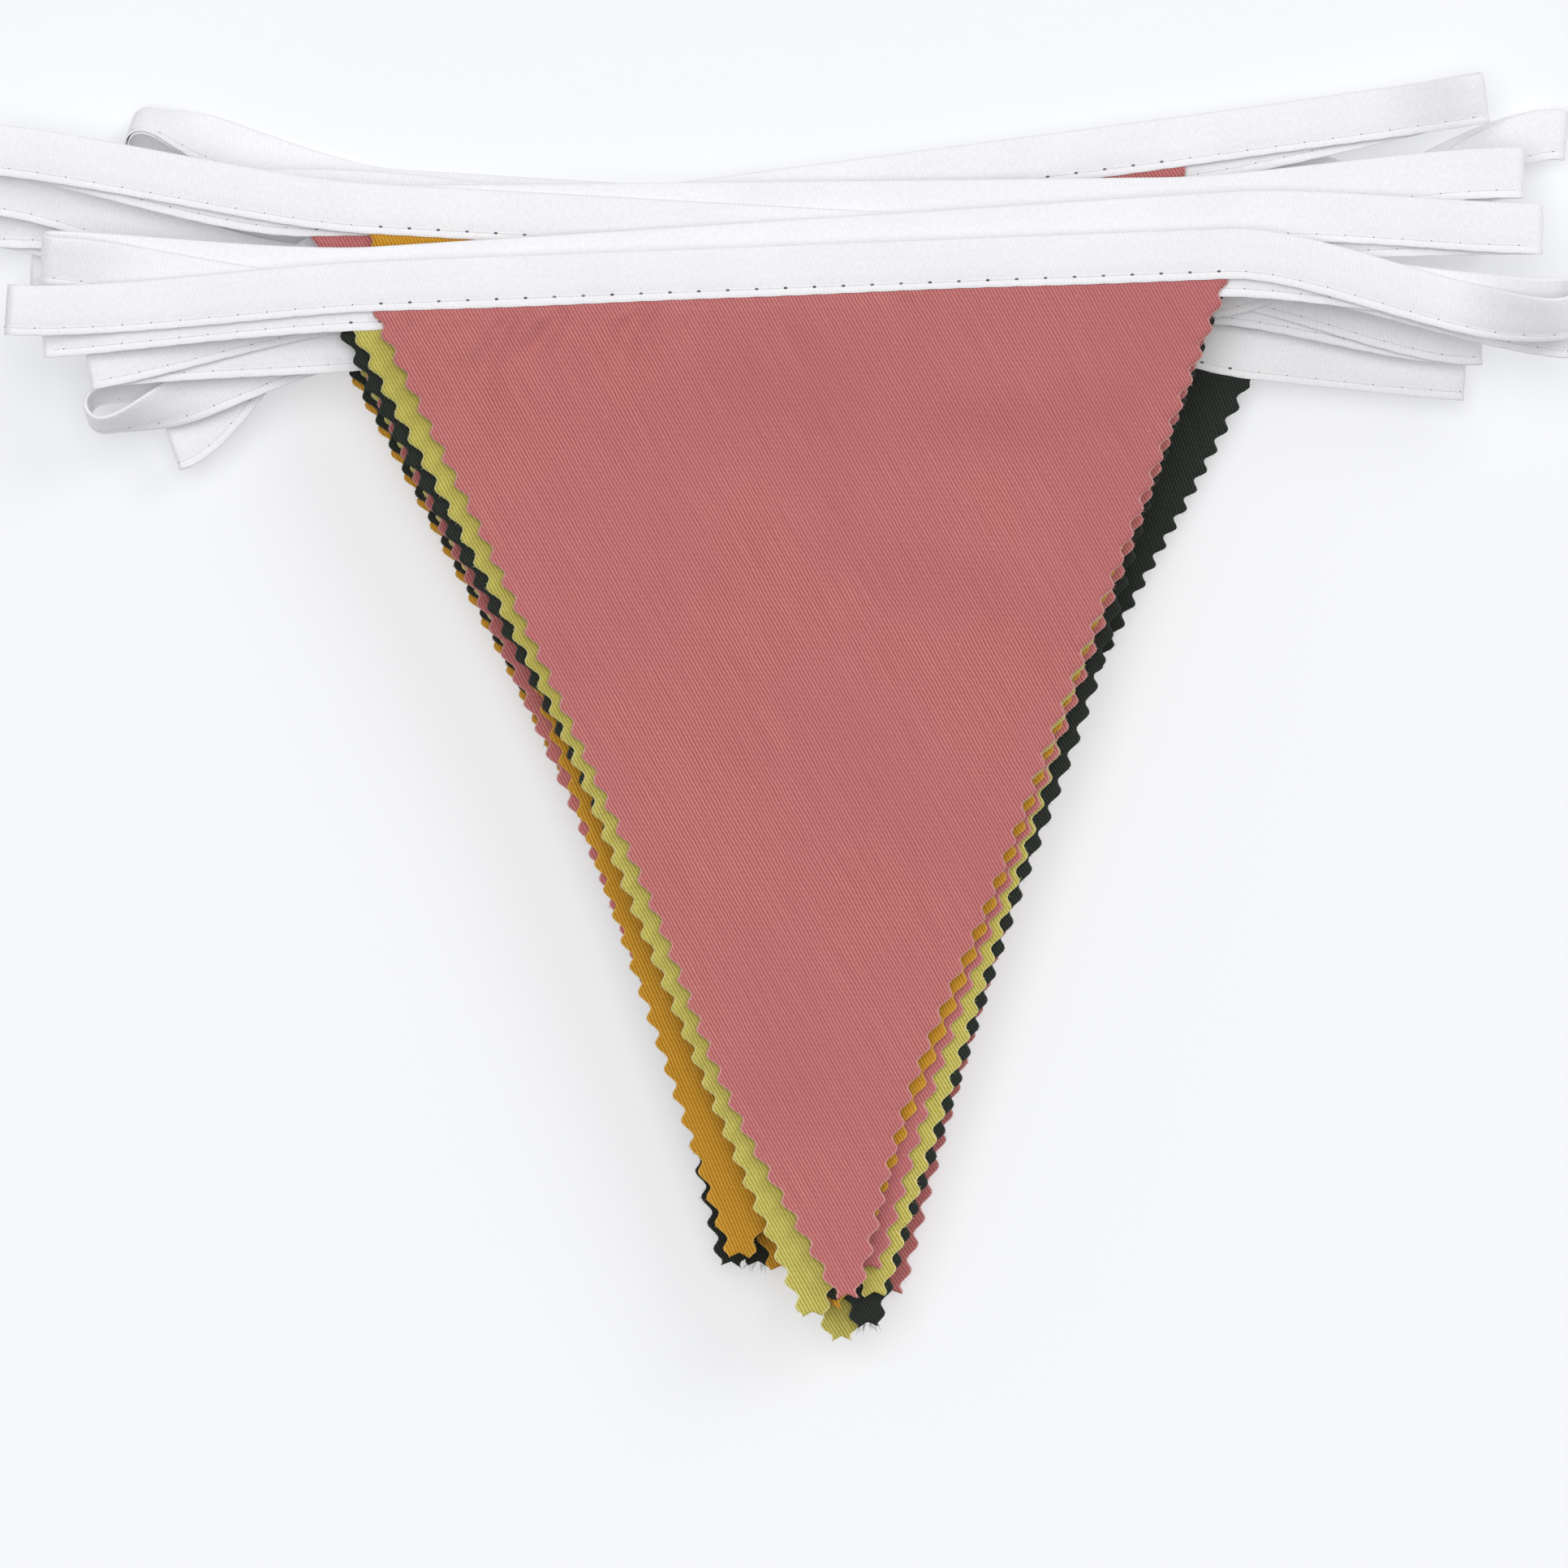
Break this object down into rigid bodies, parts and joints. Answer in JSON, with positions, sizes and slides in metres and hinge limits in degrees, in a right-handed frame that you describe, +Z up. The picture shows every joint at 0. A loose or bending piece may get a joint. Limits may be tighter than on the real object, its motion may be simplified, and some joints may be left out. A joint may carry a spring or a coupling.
{
  "type": "folded fabric bunting",
  "caption": "Fabric bunting folded into a flat pile: pinked triangular cotton pennants in repeating colours, sewn to one long white tape that doubles back on itself.",
  "frame": {"origin": "middle of the pile's bounding box, on the surface it lies on", "axes": "+X along the tape to the right, +Y from the pennants' tips towards the tape, +Z up out of the pile"},
  "size_m": [0.3158, 0.2514, 0.0345],
  "materials": {
    "rose_twill": "matt dusty rose cotton twill",
    "olive_twill": "matt yellow olive cotton twill",
    "charcoal_twill": "matt charcoal cotton twill",
    "mustard_twill": "matt mustard orange cotton twill",
    "white_tape": "soft white woven tape with a faint sheen"
  },
  "bodies": {
    "root": {"pennant_01": "rose_twill", "pennant_02": "olive_twill", "pennant_03": "charcoal_twill", "pennant_04": "mustard_twill", "pennant_05": "rose_twill", "pennant_06": "olive_twill", "pennant_07": "charcoal_twill", "pennant_08": "mustard_twill", "pennant_09": "rose_twill", "pennant_10": "olive_twill", "pennant_11": "charcoal_twill", "pennant_12": "mustard_twill", "pennant_13": "rose_twill", "pennant_14": "olive_twill", "pennant_15": "charcoal_twill", "pennant_16": "mustard_twill", "pennant_17": "rose_twill", "pennant_18": "olive_twill", "pennant_19": "charcoal_twill", "pennant_20": "mustard_twill", "tape": "white_tape"}
  },
  "joints": []
}
